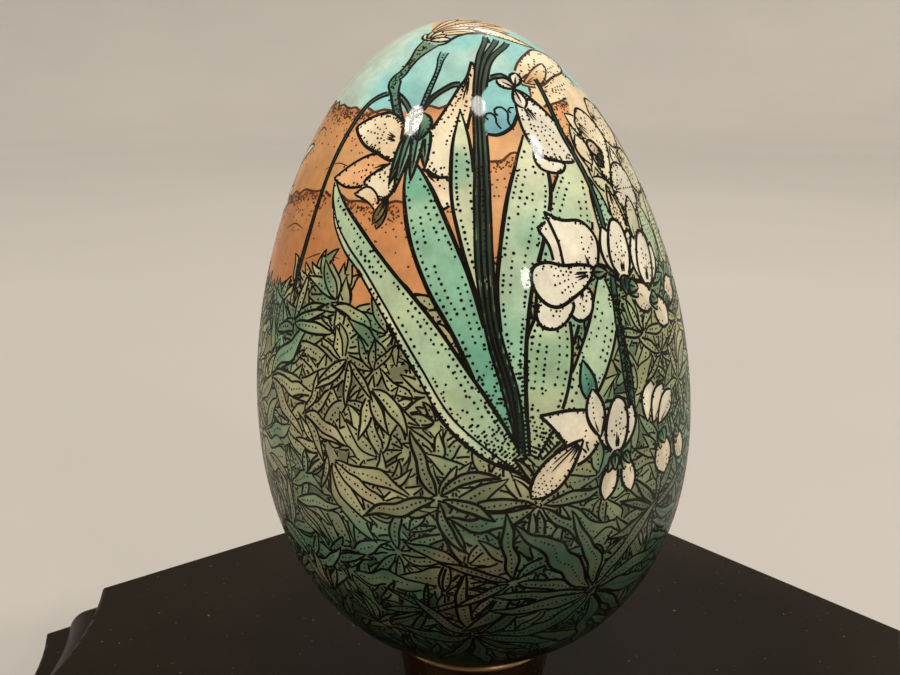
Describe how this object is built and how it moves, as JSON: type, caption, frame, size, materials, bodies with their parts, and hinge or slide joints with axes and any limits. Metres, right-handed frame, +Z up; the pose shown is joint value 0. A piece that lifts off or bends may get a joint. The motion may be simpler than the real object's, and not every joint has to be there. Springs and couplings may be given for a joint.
{
  "type": "decorated egg on a display plaque",
  "caption": "Blown goose egg, inked and washed with plants, resting blunt end down in a brass ring on a black moulded wooden plaque with scooped corners.",
  "frame": {"origin": "centre of the plaque's underside, on the surface that it stands on", "axes": "+Z up; X and Y along the plaque's straight sides; the egg's front faces between -X and -Y, turned 38.9 degrees clockwise from -Y as seen from above"},
  "size_m": [0.1524, 0.1524, 0.1123],
  "materials": {
    "inked_shell": "ink line and translucent colour washes under clear gloss varnish",
    "membrane": "dry and matt",
    "brass_ring": "polished, a little dulled",
    "black_wood": "satin black paint over fine grain"
  },
  "bodies": {
    "stand": {"plaque": "black_wood"},
    "ring": {"egg_ring": "brass_ring"},
    "egg": {"eggshell": "inked_shell", "shell_membrane": "membrane"}
  },
  "joints": [
    {"name": "ring_turn", "type": "hinge", "parent": "stand", "child": "ring", "pos_m": [0, 0, 0.01905], "axis": [0, 0, 1], "continuous": true},
    {"name": "egg_lift", "type": "slide", "parent": "ring", "child": "egg", "axis": [0, 0, 1], "range_m": [0, 0.06]}
  ]
}
